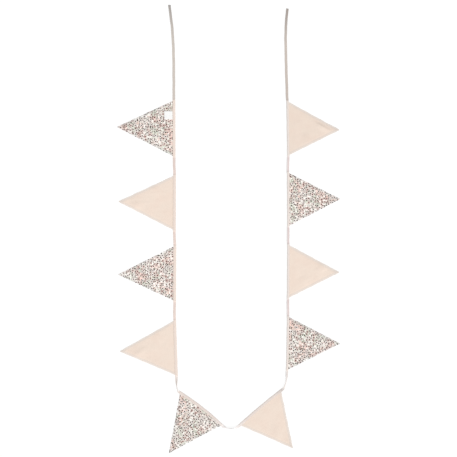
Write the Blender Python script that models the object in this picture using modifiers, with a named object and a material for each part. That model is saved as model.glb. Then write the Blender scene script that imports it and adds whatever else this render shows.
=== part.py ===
"""Fabric bunting: ten cloth pennants sewn into one folded tape, laid flat in a long U.

The tape runs down the left leg, across the bottom and up the right leg, so the pennants are
always on the right-hand side of someone who walks along it. Metres, +Z up, the floor at Z = 0
and the origin under the middle of the layout. Tables are in millimetres and degrees.
"""

import math
from collections import namedtuple

import bmesh
import bpy
from mathutils import Matrix, Vector

MM = 0.001

# The tape: a strip folded round the top edges of the pennants and sewn shut between them.
TAPE_WIDTH = 9.0
TAPE_THICK = 3.0
TAPE_WALL = 0.7
TAPE_SPINE = 1.6
TAPE_CHAMFER = 0.6

# The pennants: two layers of cotton, sewn, turned and pressed flat.
CLOTH_THICK = 1.0
TIP_WIDTH = 2.0
CLEARANCE = 0.3

# How a pennant comes down from the middle of the tape's thickness to the floor.
LEVEL_UNTIL = 6.0
SETTLED_AT = 27.0

# Where the tip starts to curl, as a share of the depth, and the lift that the floor flattens.
CURL_FROM = 0.72
LIES_FLAT_BELOW = 0.12

# The plain white label on the first pennant, its upper edge at the tape's lower edge.
LABEL_WIDTH = 27.0
LABEL_DROP = 27.0
LABEL_ALONG = -43.5
LABEL_OVER_CLOTH = 0.45

# How finely the pennants and the label are divided.
CELLS_ALONG = 10
ROWS_SETTLING = (12.0, 19.0, 27.0)
ROWS_BELOW = 12
LABEL_CELLS = 3

# How far the tape stays straight and flat past a pennant's ends, how soon a turned stretch
# reaches its full roll, and how far a pocket's cutter reaches out of the tape's open side.
PAST_PENNANT = 4.0
PLATEAU = 1.25
SLOT_OVERRUN = 2.0

# x, y: the middle of the pennant's top edge, on the tape's centreline. heading: the way the
# tape runs there. base, depth: the cloth's width and drop. skew: how far the tip lies off
# the middle, along the tape. bow: how far the ends of the top edge droop below its middle.
# tip_lift: how far the tip curls off the floor.
Pennant = namedtuple("Pennant", "name x y heading base depth skew bow tip_lift")
PENNANTS = (
    Pennant("pennant_01", -182.7, 333.1, -89.8, 186.6, 187.5, -5.4, 0.0, 1.5),
    Pennant("pennant_02", -181.2, 86.0, -90.2, 182.8, 184.8, -3.6, 0.0, 2.5),
    Pennant("pennant_03", -180.2, -148.4, -90.2, 182.4, 187.3, 4.0, 0.0, 1.0),
    Pennant("pennant_04", -177.6, -395.2, -88.2, 182.6, 184.0, 5.6, 0.0, 3.0),
    Pennant("pennant_05", -90.7, -593.8, -37.9, 175.8, 184.0, 6.6, 4.4, 2.0),
    Pennant("pennant_06", 103.2, -592.7, 40.0, 179.2, 172.3, -3.6, 1.8, 2.5),
    Pennant("pennant_07", 193.6, -380.0, 88.9, 177.6, 173.0, 2.6, 0.0, 1.5),
    Pennant("pennant_08", 195.4, -141.5, 89.7, 178.6, 170.0, -1.9, 0.0, 3.5),
    Pennant("pennant_09", 195.4, 97.7, 90.3, 178.8, 172.0, 0.2, 0.0, 1.5),
    Pennant("pennant_10", 194.4, 333.4, 90.9, 180.8, 171.0, -8.0, 0.0, 3.0),
)

# The free tape after each pennant but the last. roll: how far it turns on its edge, and at
# what share of the gap. slack: the pull of its curve, as a share of the straight distance.
Gap = namedtuple("Gap", "roll peak slack steps")
GAPS = (
    Gap(12, 0.5, 1.0, 7),
    Gap(8, 0.5, 1.0, 7),
    Gap(12, 0.5, 1.0, 7),
    Gap(76, 0.8, 0.62, 16),
    Gap(84, 0.5, 0.84, 16),
    Gap(66, 0.35, 0.82, 16),
    Gap(10, 0.5, 1.0, 7),
    Gap(6, 0.5, 1.0, 7),
    Gap(10, 0.5, 1.0, 7),
)

# The two loose ties, from the pennant out to the free end, which is straight for a knot.
# roll: how far the tape is turned there. steps: how finely the stretch before it is divided.
TiePoint = namedtuple("TiePoint", "x y heading roll steps")
TIE_LEFT = (
    TiePoint(-183.6, 567.0, -89.0, 12, 10),
    TiePoint(-187.4, 652.0, -86.0, 18, 8),
    TiePoint(-193.9, 711.4, -82.6, 24, 8),
    TiePoint(-197.9, 742.4, -82.6, 24, 1),
)
TIE_RIGHT = (
    TiePoint(189.3, 557.0, 91.0, 12, 10),
    TiePoint(188.2, 652.0, 88.8, 18, 8),
    TiePoint(190.9, 701.0, 84.5, 24, 8),
    TiePoint(193.7, 730.3, 84.5, 24, 1),
)

# Soft creases in the cloth. along, down: the middle of the crease, from the middle of the
# top edge. angle: its run, turned from the tape's direction. spread: half its width. lean:
# how much steeper its far side is than its near side.
Crease = namedtuple("Crease", "pennant along down angle length spread height lean", defaults=(0.0,))
CREASES = (
    Crease("pennant_01", 22, 92, -58, 110, 17, 1.6),
    Crease("pennant_02", 12, 128, -72, 84, 15, 2.2),
    Crease("pennant_02", -38, 62, 64, 70, 15, 1.2),
    Crease("pennant_03", -20, 84, 52, 100, 17, 1.8),
    Crease("pennant_04", 10, 122, -66, 90, 15, 2.4),
    Crease("pennant_04", -34, 54, 40, 66, 14, 1.3),
    Crease("pennant_05", 24, 70, 70, 90, 16, 1.7),
    Crease("pennant_06", -14, 110, 62, 100, 16, 2.0),
    Crease("pennant_07", 6, 98, -48, 96, 17, 1.8),
    Crease("pennant_08", 16, 118, -54, 80, 15, 1.7),
    Crease("pennant_08", -30, 58, 76, 60, 14, 1.2),
    Crease("pennant_09", -16, 88, 60, 96, 17, 1.6),
    Crease("pennant_10", 8, 116, 61, 96, 8, 3.4, 0.3),
    Crease("pennant_10", -36, 67, 34, 62, 10, 2.0),
)

CLOTH_KINDS = ("print_cotton", "plain_cotton")
COLOURS = {
    "print_cotton": (0.66, 0.58, 0.53, 1.0),
    "plain_cotton": (0.87, 0.73, 0.64, 1.0),
    "tape_cotton": (0.78, 0.67, 0.60, 1.0),
    "label_satin": (0.93, 0.93, 0.92, 1.0),
}
CLOTH_ROUGHNESS = 0.9


def clear_scene():
    for obj in list(bpy.data.objects):
        bpy.data.objects.remove(obj, do_unlink=True)


def new_collection(name):
    collection = bpy.data.collections.new(name)
    bpy.context.scene.collection.children.link(collection)
    return collection


def cloth_material(name):
    material = bpy.data.materials.new(name)
    material.use_nodes = True
    shader = material.node_tree.nodes["Principled BSDF"]
    shader.inputs["Base Color"].default_value = COLOURS[name]
    shader.inputs["Roughness"].default_value = CLOTH_ROUGHNESS
    shader.inputs["Metallic"].default_value = 0.0
    return material


def smooth(share):
    """0 below 0, 1 above 1, and an even rise between."""
    share = min(1.0, max(0.0, share))
    return share * share * (3.0 - 2.0 * share)


def direction(heading):
    return Vector((math.cos(math.radians(heading)), math.sin(math.radians(heading)), 0.0))


def hermite(start, start_run, end, end_run, share):
    """The point at that share of a smooth curve between two points with their directions."""
    square = share * share
    cube = square * share
    return (
        start * (2 * cube - 3 * square + 1)
        + start_run * (cube - 2 * square + share)
        + end * (3 * square - 2 * cube)
        + end_run * (cube - square)
    )


def bend(start, start_heading, end, end_heading, slack, steps):
    """Points between two ends of tape, without the ends themselves."""
    reach = (end - start).length * slack
    start_run = direction(start_heading) * reach
    end_run = direction(end_heading) * reach
    return [
        hermite(start, start_run, end, end_run, step / steps) for step in range(1, steps)
    ]


def top_edge_rise():
    """How far the pennant's top edge lies above the tape's centreline, inside the fold."""
    return TAPE_WIDTH / 2 - TAPE_SPINE - CLEARANCE


def width_at(pennant, down):
    """The pennant's width at that drop below the tape's centreline."""
    return pennant.base + (TIP_WIDTH - pennant.base) * down / pennant.depth


def droop(pennant, along):
    """How far the tape lies below the pennant's straight top line: a shallow arch."""
    return pennant.bow * (2 * along / pennant.base) ** 2


def columns(pennant, extra=0.0):
    """Distances along the tape of the pennant's columns of cells, at its top edge."""
    width = width_at(pennant, -top_edge_rise()) + 2 * extra
    return [width * (number / CELLS_ALONG - 0.5) for number in range(CELLS_ALONG + 1)]


def pennant_route(pennant):
    """Points of the tape's centreline beside the pennant and just past its two ends."""
    past = pennant.base / 2 + PAST_PENNANT
    middle = Vector((pennant.x, pennant.y, 0.0))
    run = direction(pennant.heading)
    drop = direction(pennant.heading - 90.0)
    return [
        middle + run * along + drop * droop(pennant, along)
        for along in (-past, *columns(pennant), past)
    ]


def end_turn(pennant):
    """How far the arch of the top edge turns the tape's heading at each end, in degrees."""
    past = pennant.base / 2 + PAST_PENNANT
    return math.degrees(math.atan(8 * pennant.bow * past / pennant.base**2))


def centre_height(roll):
    """How high the tape's centreline lies when its lower edge is on the floor."""
    turned = math.radians(abs(roll))
    flat_part = TAPE_THICK / 2 * math.cos(turned)
    edge_part = (TAPE_WIDTH / 2 - TAPE_CHAMFER * math.cos(turned)) * math.sin(turned)
    return flat_part + max(0.0, edge_part)


def tie_route(pennant_end, pennant_heading, points, outwards):
    """(point, roll) along a tie, from beside its pennant to its free end."""
    turn = 0.0 if outwards else 180.0
    here, heading, roll = pennant_end, pennant_heading + turn, 0.0
    route = []
    for point in points:
        there = Vector((point.x, point.y, 0.0))
        there_heading = point.heading + turn
        between = bend(here, heading, there, there_heading, 1.0, point.steps)
        for step, place in enumerate(between + [there], start=1):
            share = step / point.steps
            route.append((place, roll + (point.roll - roll) * share))
        here, heading, roll = there, there_heading, point.roll
    return route


def gap_route(before, gap, after):
    """(point, roll) over the gap between two pennants; the tape rolls up and back down."""
    start, end = pennant_route(before)[-1], pennant_route(after)[0]
    start_heading = before.heading - end_turn(before)
    end_heading = after.heading + end_turn(after)
    between = bend(start, start_heading, end, end_heading, gap.slack, gap.steps)
    route = []
    for step, place in enumerate(between, start=1):
        share = step / gap.steps
        rise = smooth(PLATEAU * min(share / gap.peak, (1 - share) / (1 - gap.peak)))
        route.append((place, gap.roll * rise))
    return route


def tape_route():
    """(point, roll) from the free end of the left tie to the free end of the right one."""
    first, last = PENNANTS[0], PENNANTS[-1]
    left = tie_route(pennant_route(first)[0], first.heading, TIE_LEFT, outwards=False)
    right = tie_route(pennant_route(last)[-1], last.heading, TIE_RIGHT, outwards=True)
    route = [(place, -roll) for place, roll in reversed(left)]
    for number, pennant in enumerate(PENNANTS):
        route += [(place, 0.0) for place in pennant_route(pennant)]
        if number < len(GAPS):
            route += gap_route(pennant, GAPS[number], PENNANTS[number + 1])
    return route + right


def tape_profile(helpers):
    """The tape's cross-section as a closed flat curve: a strip with its four edges eased."""
    half_width = TAPE_WIDTH / 2
    half_thick = TAPE_THICK / 2
    outline = []
    for side_x, side_y in ((1, 1), (-1, 1), (-1, -1), (1, -1)):
        near_end = (side_x * half_width, side_y * (half_thick - TAPE_CHAMFER))
        near_face = (side_x * (half_width - TAPE_CHAMFER), side_y * half_thick)
        pair = (near_end, near_face) if side_x * side_y > 0 else (near_face, near_end)
        outline.extend(pair)
    curve = bpy.data.curves.new("tape_profile", "CURVE")
    curve.dimensions = "2D"
    spline = curve.splines.new("POLY")
    spline.points.add(len(outline) - 1)
    spline.use_cyclic_u = True
    for point, (x, y) in zip(spline.points, outline):
        point.co = (x * MM, y * MM, 0.0, 1.0)
    profile = bpy.data.objects.new("tape_profile", curve)
    profile.hide_render = True
    profile.display_type = "WIRE"
    helpers.objects.link(profile)
    return profile


def mesh_of_curve(curve_object, name, collection):
    """The curve's swept shape as a mesh object, with its end caps welded on."""
    bpy.context.view_layer.update()
    graph = bpy.context.evaluated_depsgraph_get()
    mesh = bpy.data.meshes.new_from_object(curve_object.evaluated_get(graph))
    shape = bmesh.new()
    shape.from_mesh(mesh)
    bmesh.ops.remove_doubles(shape, verts=shape.verts, dist=0.00001)
    bmesh.ops.recalc_face_normals(shape, faces=shape.faces)
    shape.to_mesh(mesh)
    shape.free()
    made = bpy.data.objects.new(name, mesh)
    made.matrix_world = curve_object.matrix_world
    collection.objects.link(made)
    bpy.data.objects.remove(curve_object)
    return made


def make_tape(collection, helpers, cutters, material):
    """One strip swept along the whole route, then cut open where each pennant goes in."""
    route = tape_route()
    curve = bpy.data.curves.new("tape_route", "CURVE")
    curve.dimensions = "3D"
    curve.twist_mode = "Z_UP"
    curve.use_fill_caps = True
    curve.bevel_mode = "OBJECT"
    curve.bevel_object = tape_profile(helpers)
    spline = curve.splines.new("POLY")
    spline.points.add(len(route) - 1)
    for point, (place, roll) in zip(spline.points, route):
        point.co = (place.x * MM, place.y * MM, centre_height(roll) * MM, 1.0)
        point.tilt = math.radians(roll)
    swept = bpy.data.objects.new("tape_route", curve)
    collection.objects.link(swept)
    tape = mesh_of_curve(swept, "binding_tape", collection)
    tape.data.materials.clear()
    tape.data.materials.append(material)
    slots = tape.modifiers.new("slots", "BOOLEAN")
    slots.operation = "DIFFERENCE"
    slots.operand_type = "COLLECTION"
    slots.collection = cutters
    slots.solver = "EXACT"
    return tape


def crease_height(crease, along, down):
    """The height that one crease adds at a point: a soft ridge that fades at both ends."""
    run = math.radians(crease.angle)
    step_along = along - crease.along
    step_down = down - crease.down
    on_line = step_along * math.cos(run) - step_down * math.sin(run)
    off_line = step_along * math.sin(run) + step_down * math.cos(run)
    fade = smooth(1.0 - abs(on_line) / (crease.length / 2))
    spread = crease.spread * (1.0 - math.copysign(crease.lean, off_line))
    return crease.height * fade * math.exp(-((off_line / spread) ** 2))


def underside(pennant, along, down):
    """How high the underside of the cloth lies above the floor."""
    settled = smooth((down - LEVEL_UNTIL) / (SETTLED_AT - LEVEL_UNTIL))
    curl_from = CURL_FROM * pennant.depth
    curl = smooth((down - curl_from) / (pennant.depth - curl_from))
    creases = sum(
        crease_height(crease, along, down)
        for crease in CREASES
        if crease.pennant == pennant.name
    )
    lifted = creases * settled + pennant.tip_lift * curl
    return (TAPE_WALL + CLEARANCE) * (1.0 - settled) + max(0.0, lifted - LIES_FLAT_BELOW)


def grid_object(name, cells, rows, place, thickness, collection, material):
    """A sheet on a grid, put in place by a function of column and row, then thickened."""
    shape = bmesh.new()
    bmesh.ops.create_grid(shape, x_segments=cells, y_segments=rows, size=1.0, calc_uvs=False)
    for vert in shape.verts:
        across = (vert.co.x + 1.0) / 2.0
        row = round((1.0 - vert.co.y) / 2.0 * rows)
        vert.co = place(across, row) * MM
    mesh = bpy.data.meshes.new(name)
    shape.to_mesh(mesh)
    shape.free()
    mesh.materials.append(material)
    made = bpy.data.objects.new(name, mesh)
    collection.objects.link(made)
    solid = made.modifiers.new("thickness", "SOLIDIFY")
    solid.thickness = thickness * MM
    solid.offset = 1.0
    return made


def place_on_tape(obj, pennant, parent):
    """Turns a sheet that was made at the origin so that its top edge lies along the tape."""
    obj.location = (pennant.x * MM, pennant.y * MM, 0.0)
    obj.rotation_euler = (0.0, 0.0, math.radians(pennant.heading))
    obj.parent = parent


def make_slot_cutter(pennant, parent, cutters, material):
    """A bar the size of the pocket for the pennant's top edge, open on the pennant's side."""
    spine_side = TAPE_WIDTH / 2 - TAPE_SPINE
    open_side = TAPE_WIDTH / 2 + SLOT_OVERRUN
    stations = columns(pennant, extra=CLEARANCE)

    def place(across, row):
        along = stations[round(across * CELLS_ALONG)]
        down = (-spine_side, open_side)[row] + droop(pennant, along)
        return Vector((along, -down, TAPE_WALL))

    height = TAPE_THICK - 2 * TAPE_WALL
    name = pennant.name + "_slot"
    cutter = grid_object(name, CELLS_ALONG, 1, place, height, cutters, material)
    place_on_tape(cutter, pennant, parent)
    cutter.hide_render = True
    cutter.display_type = "WIRE"
    return cutter


def make_pennant(pennant, parent, collection, material):
    last_settling = ROWS_SETTLING[-1]
    step = (pennant.depth - last_settling) / ROWS_BELOW
    below = [last_settling + step * number for number in range(1, ROWS_BELOW + 1)]
    drops = [-top_edge_rise(), LEVEL_UNTIL, *ROWS_SETTLING, *below]

    def place(across, row):
        down = drops[row]
        fade = 1.0 - max(0.0, down) / pennant.depth
        middle = pennant.skew * max(0.0, down) / pennant.depth
        along = middle + (across - 0.5) * width_at(pennant, down)
        lowered = down + fade * droop(pennant, along)
        return Vector((along, -lowered, underside(pennant, along, down)))

    made = grid_object(
        pennant.name, CELLS_ALONG, len(drops) - 1, place, CLOTH_THICK, collection, material
    )
    place_on_tape(made, pennant, parent)
    return made


def make_label(pennant, parent, collection, material):
    """A plain woven label that lies on the first pennant, just below the tape."""
    top = TAPE_WIDTH / 2 + CLEARANCE

    def place(across, row):
        along = LABEL_ALONG + (across - 0.5) * LABEL_WIDTH
        down = top + LABEL_DROP * row / LABEL_CELLS
        cloth_top = underside(pennant, along, down) + CLOTH_THICK
        return Vector((along, -down, cloth_top + LABEL_OVER_CLOTH))

    made = grid_object(
        "sewn_label", LABEL_CELLS, LABEL_CELLS, place, CLOTH_THICK, collection, material
    )
    place_on_tape(made, pennant, parent)
    return made


def centre_on_floor(root, pieces):
    """Moves the layout so that the origin is under the middle of its box."""
    bpy.context.view_layer.update()
    corners = [
        piece.matrix_world @ vert.co for piece in pieces for vert in piece.data.vertices
    ]
    middle_x = (min(c.x for c in corners) + max(c.x for c in corners)) / 2
    middle_y = (min(c.y for c in corners) + max(c.y for c in corners)) / 2
    root.location = (-middle_x, -middle_y, 0.0)
    bpy.context.view_layer.update()


def main():
    clear_scene()
    parts = new_collection("fabric_bunting")
    helpers = new_collection("profiles")
    cutters = new_collection("cutters")
    root = bpy.data.objects.new("layout", None)
    parts.objects.link(root)
    materials = {name: cloth_material(name) for name in COLOURS}

    for pennant in PENNANTS:
        make_slot_cutter(pennant, root, cutters, materials["tape_cotton"])
    tape = make_tape(parts, helpers, cutters, materials["tape_cotton"])
    tape.parent = root

    pieces = [tape]
    for number, pennant in enumerate(PENNANTS):
        kind = materials[CLOTH_KINDS[number % len(CLOTH_KINDS)]]
        pieces.append(make_pennant(pennant, root, parts, kind))
    pieces.append(make_label(PENNANTS[0], root, parts, materials["label_satin"]))
    centre_on_floor(root, pieces)


main()
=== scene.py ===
# %% [markdown]
# # A fabric bunting, laid out in a long U
#
# The real bunting is ten small triangles of cotton, printed and plain in turn. Each one is
# sewn from two layers, turned right side out and pressed, and its raw top edge is caught in
# one long folded tape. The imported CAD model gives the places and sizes. It is loaded first,
# and every piece made below stands in the same frame, in metres, with the floor at Z = 0.

# %% Load the frame
import math
from collections import namedtuple

import bpy
import numpy as np
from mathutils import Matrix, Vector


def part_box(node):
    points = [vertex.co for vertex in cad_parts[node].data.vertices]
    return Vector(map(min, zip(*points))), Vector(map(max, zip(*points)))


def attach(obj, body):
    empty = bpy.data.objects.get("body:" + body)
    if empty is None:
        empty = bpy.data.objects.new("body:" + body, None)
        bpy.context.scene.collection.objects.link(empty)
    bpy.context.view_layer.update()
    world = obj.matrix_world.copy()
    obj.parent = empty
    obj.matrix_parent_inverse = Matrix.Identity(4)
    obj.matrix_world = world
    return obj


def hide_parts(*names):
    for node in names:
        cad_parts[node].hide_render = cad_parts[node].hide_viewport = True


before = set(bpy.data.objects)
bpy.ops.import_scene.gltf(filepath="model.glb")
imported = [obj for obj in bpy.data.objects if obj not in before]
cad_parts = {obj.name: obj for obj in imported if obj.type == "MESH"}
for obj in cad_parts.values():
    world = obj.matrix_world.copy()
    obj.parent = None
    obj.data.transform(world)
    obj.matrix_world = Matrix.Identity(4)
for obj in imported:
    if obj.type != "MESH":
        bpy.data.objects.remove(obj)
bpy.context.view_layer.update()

# %% [markdown]
# ## The sizes, in millimetres
#
# The tables say where each pennant sits on the tape, how the loose tape curves between them,
# and where the cloth has soft creases. Nothing here is read off a mesh: the shapes are
# worked out again from these numbers, finer than in the CAD model.

# %% Sizes of the tape and the cloth
MM = 0.001
LAYOUT_SHIFT = np.array((1.41, 0.344))

TAPE_WIDTH = 9.0
TAPE_LEG = 0.55
POCKET_GAP = 0.62
SHUT_GAP = 0.03
SEAM_FROM_LIP = 1.6

CLOTH_HALF = 0.35
HEM_HALF = 0.5
HEM_WIDTH = 5.5
TIP_WIDTH = 2.0
TOP_EDGE = 2.2
LEVEL_UNTIL = 6.0
SETTLED_AT = 27.0
CURL_FROM = 0.72
LIES_FLAT_BELOW = 0.12
PAST_PENNANT = 4.0

LABEL_WIDTH = 27.0
LABEL_ALONG = -43.5
LABEL_FROM = 1.0
LABEL_TO = 31.6

# %% The ten pennants
# x, y: the middle of the top edge on the tape's centreline. heading: the tape's direction.
# skew: how far the tip lies off the middle. bow: how far the top edge's ends droop.
Pennant = namedtuple("Pennant", "name x y heading base depth skew bow tip_lift")
SIZES = (
    (-182.7, 333.1, -89.8, 186.6, 187.5, -5.4, 0.0, 1.5),
    (-181.2, 86.0, -90.2, 182.8, 184.8, -3.6, 0.0, 2.5),
    (-180.2, -148.4, -90.2, 182.4, 187.3, 4.0, 0.0, 1.0),
    (-177.6, -395.2, -88.2, 182.6, 184.0, 5.6, 0.0, 3.0),
    (-90.7, -593.8, -37.9, 175.8, 184.0, 6.6, 4.4, 2.0),
    (103.2, -592.7, 40.0, 179.2, 172.3, -3.6, 1.8, 2.5),
    (193.6, -380.0, 88.9, 177.6, 173.0, 2.6, 0.0, 1.5),
    (195.4, -141.5, 89.7, 178.6, 170.0, -1.9, 0.0, 3.5),
    (195.4, 97.7, 90.3, 178.8, 172.0, 0.2, 0.0, 1.5),
    (194.4, 333.4, 90.9, 180.8, 171.0, -8.0, 0.0, 3.0),
)
PENNANTS = [Pennant(f"pennant_{count:02d}", *sizes) for count, sizes in enumerate(SIZES, 1)]

# %% The loose tape and the creases
# A gap's roll says how far the tape turns on its edge, and peak at what share of the gap.
Gap = namedtuple("Gap", "roll peak slack")
GAPS = (
    Gap(12, 0.5, 1.0),
    Gap(8, 0.5, 1.0),
    Gap(12, 0.5, 1.0),
    Gap(76, 0.8, 0.62),
    Gap(84, 0.5, 0.84),
    Gap(66, 0.35, 0.82),
    Gap(10, 0.5, 1.0),
    Gap(6, 0.5, 1.0),
    Gap(10, 0.5, 1.0),
)

# x, y, heading and roll along each tie, in the order in which the tape is walked.
LEFT_TIE = (
    (-197.9, 742.4, -82.6, -24),
    (-193.9, 711.4, -82.6, -24),
    (-187.4, 652.0, -86.0, -18),
    (-183.6, 567.0, -89.0, -12),
)
RIGHT_TIE = (
    (189.3, 557.0, 91.0, 12),
    (188.2, 652.0, 88.8, 18),
    (190.9, 701.0, 84.5, 24),
    (193.7, 730.3, 84.5, 24),
)

# pennant: its number. along, down: the crease's middle. angle: its run, turned from the tape's.
# lean: how much steeper its far side is than its near side.
CREASE_FIELDS = "pennant along down angle length spread height lean"
Crease = namedtuple("Crease", CREASE_FIELDS, defaults=(0.0,))
CREASES = (
    Crease(1, 22, 92, -58, 110, 17, 1.6),
    Crease(2, 12, 128, -72, 84, 15, 2.2),
    Crease(2, -38, 62, 64, 70, 15, 1.2),
    Crease(3, -20, 84, 52, 100, 17, 1.8),
    Crease(4, 10, 122, -66, 90, 15, 2.4),
    Crease(4, -34, 54, 40, 66, 14, 1.3),
    Crease(5, 24, 70, 70, 90, 16, 1.7),
    Crease(6, -14, 110, 62, 100, 16, 2.0),
    Crease(7, 6, 98, -48, 96, 17, 1.8),
    Crease(8, 16, 118, -54, 80, 15, 1.7),
    Crease(8, -30, 58, 76, 60, 14, 1.2),
    Crease(9, -16, 88, 60, 96, 17, 1.6),
    Crease(10, 8, 116, 61, 96, 8, 3.4, 0.3),
    Crease(10, -36, 67, 34, 62, 10, 2.0),
)

# %% [markdown]
# ## Camera, floor and light
#
# The bunting lies on a white surface and is seen from straight above. A long lens far away
# keeps the outline free of perspective. The light is a bright even room with one wide soft
# lamp from the lower right, so that creases show as a faint light and dark side. Cloth
# colours below are given as they look in that light, and `dyed` turns them into the colour
# of the cloth itself by dividing by the strength of the light.

# %% Camera and colour management
LENS = 80.0
SENSOR = 36.0
CAMERA_PLACE = (-0.00025, 0.001344, 3.371)

scene = bpy.context.scene
scene.view_settings.view_transform = "Standard"
scene.view_settings.look = "None"


def placed(name, data):
    """A new object in the scene."""
    made = bpy.data.objects.new(name, data)
    scene.collection.objects.link(made)
    return made


camera_data = bpy.data.cameras.new("camera_above")
camera_data.lens = LENS
camera_data.sensor_width = SENSOR
camera_data.clip_end = 50.0
camera = placed("camera_above", camera_data)
camera.location = CAMERA_PLACE
scene.camera = camera
print("field of view in metres:", round(SENSOR / LENS * CAMERA_PLACE[2], 4))

# %% Floor and lights
WORLD_LIGHT = 0.66
LAMP_STRENGTH = 2.42
LAMP_TILT = 40.0
LAMP_HEADING = 28.0
LAMP_WIDTH = 35.0
FLOOR_HALF = 40.0
FLOOR_LEVEL = -0.0003
FLOOR_GLOW = 0.89
LIGHT_LEVEL = WORLD_LIGHT + LAMP_STRENGTH * math.cos(math.radians(LAMP_TILT)) / math.pi

world = bpy.data.worlds.new("bright_room")
world.use_nodes = True
background = world.node_tree.nodes["Background"]
background.inputs["Color"].default_value = (1.0, 1.0, 1.0, 1.0)
background.inputs["Strength"].default_value = WORLD_LIGHT
scene.world = world

lamp_data = bpy.data.lights.new("soft_lamp", "SUN")
lamp_data.energy = LAMP_STRENGTH
lamp_data.angle = math.radians(LAMP_WIDTH)
lamp = placed("soft_lamp", lamp_data)
lamp.rotation_euler = (math.radians(LAMP_TILT), 0.0, math.radians(LAMP_HEADING))

floor_mesh = bpy.data.meshes.new("floor")
floor_corners = [
    (x * FLOOR_HALF, y * FLOOR_HALF, FLOOR_LEVEL)
    for x, y in ((-1, -1), (1, -1), (1, 1), (-1, 1))
]
floor_mesh.from_pydata(floor_corners, [], [(0, 1, 2, 3)])
floor = placed("floor", floor_mesh)
floor_paint = bpy.data.materials.new("floor_white")
floor_paint.use_nodes = True
floor_shader = floor_paint.node_tree.nodes["Principled BSDF"]
for socket, value in (
    ("Base Color", (0.12, 0.12, 0.12, 1.0)),
    ("Emission Color", (1.0, 1.0, 1.0, 1.0)),
    ("Emission Strength", FLOOR_GLOW),
    ("Roughness", 1.0),
    ("Specular IOR Level", 0.0),
):
    floor_shader.inputs[socket].default_value = value
floor_mesh.materials.append(floor_paint)
print("light level on level cloth:", round(LIGHT_LEVEL, 3))

# %% [markdown]
# ## A small language for cloth finishes
#
# Blender builds a material from nodes. To keep a weave or a print readable, one class wraps
# a node's output: sums and products of it add Math nodes, so a pattern reads as a formula.
# Every other node comes from its method `node`.

# %% Signals: shader maths as formulas
def both_ways(operation):
    """Two methods for one operator: with the signal first, and with the signal second."""
    return (
        lambda self, other: self.math(operation, self, other),
        lambda self, other: self.math(operation, other, self),
    )


class Signal:
    """One output of a shader node; sums, products and powers of signals add Math nodes."""

    def __init__(self, tree, socket=None):
        self.tree = tree
        self.socket = socket

    def node(self, kind, inputs=None, output=0, stops=None, **settings):
        """Adds a node: its settings first, then the values or links of its sockets."""
        made = self.tree.nodes.new("ShaderNode" + kind)
        for name, value in settings.items():
            setattr(made, name, value)
        if stops:
            ramp = made.color_ramp
            while len(ramp.elements) < len(stops):
                ramp.elements.new(0.5)
            for element, (place, colour) in zip(ramp.elements, stops):
                element.position = place
                element.color = colour
        for name, value in (inputs or {}).items():
            if isinstance(value, Signal):
                self.tree.links.new(value.socket, made.inputs[name])
            else:
                made.inputs[name].default_value = value
        return Signal(self.tree, made.outputs[output])

    def also(self, output):
        """Another output of the same node."""
        return Signal(self.tree, self.socket.node.outputs[output])

    def math(self, operation, *values):
        return self.node("Math", dict(enumerate(values)), operation=operation)

    def vector(self, operation, *values):
        return self.node("VectorMath", dict(enumerate(values)), operation=operation)

    def scaled(self, factor):
        return self.node("VectorMath", {0: self, "Scale": factor}, operation="SCALE")

    def rise(self, low, high):
        """0 below low, 1 above high and an even smooth rise between."""
        sockets = {"Value": self, "From Min": low, "From Max": high}
        return self.node("MapRange", sockets, interpolation_type="SMOOTHSTEP")

    def dye(self, under, over, amount, blend="MIX"):
        """One colour laid over another."""
        sockets = {0: amount, 6: under, 7: over}
        return self.node("Mix", sockets, output=2, data_type="RGBA", blend_type=blend)

    def toned(self, colour, tone):
        """A colour times a tone that is the same for red, green and blue."""
        shade = self.node("CombineXYZ", {0: tone, 1: tone, 2: tone})
        return self.dye(colour, shade, 1.0, "MULTIPLY")

    def greyer(self, colour, share):
        """A colour with that share of its saturation taken away."""
        return self.node("HueSaturation", {"Saturation": 1.0 - share, "Color": colour})

    def trait(self, name):
        """A number that the mesh carries at each of its points."""
        return self.node("Attribute", output="Fac", attribute_name=name)

    __add__, __radd__ = both_ways("ADD")
    __sub__, __rsub__ = both_ways("SUBTRACT")
    __mul__, __rmul__ = both_ways("MULTIPLY")
    __truediv__, __rtruediv__ = both_ways("DIVIDE")
    __pow__, __rpow__ = both_ways("POWER")


def linear(value):
    """Screen value 0 to 255 to light: the usual screen curve undone."""
    value = value / 255.0
    return value / 12.92 if value <= 0.04045 else ((value + 0.055) / 1.055) ** 2.4


def dyed(red, green, blue):
    """The cloth's own colour, from how it looks on the screen in this scene's light."""
    return tuple(min(0.9, linear(c) / LIGHT_LEVEL) for c in (red, green, blue)) + (1.0,)

# %% [markdown]
# ## The weave
#
# Plain cotton is one thread over, one under, both ways. Where a lengthwise thread is on top
# its round back shows, and beside it a crosswise one does. The product of two sines changes
# sign from one crossing to the next, so it chooses which of the two shows. Real cotton is
# never even: some threads are thicker, and those slubs are noise drawn out along a thread.

# %% Weave height and thread unevenness
WEAVE_PITCH = 0.62
FULL_TURN = 2.0 * math.pi


def split(signal):
    """The first two coordinates of a vector."""
    parts = signal.node("SeparateXYZ", {0: signal})
    return parts, parts.also("Y")


def plain_weave(place):
    """|sin(pi v)| where sin(pi u) sin(pi v) is negative and |sin(pi u)| where it is not."""
    across, along = split(place.scaled(math.pi / WEAVE_PITCH))
    lengthwise = across.math("SINE", across)
    crosswise = along.math("SINE", along)
    on_top = (lengthwise * crosswise * 3.0).rise(-1.0, 1.0)
    backs = lengthwise.math("ABSOLUTE", lengthwise)
    bars = crosswise.math("ABSOLUTE", crosswise)
    return backs * on_top + bars * (1.0 - on_top)


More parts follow.
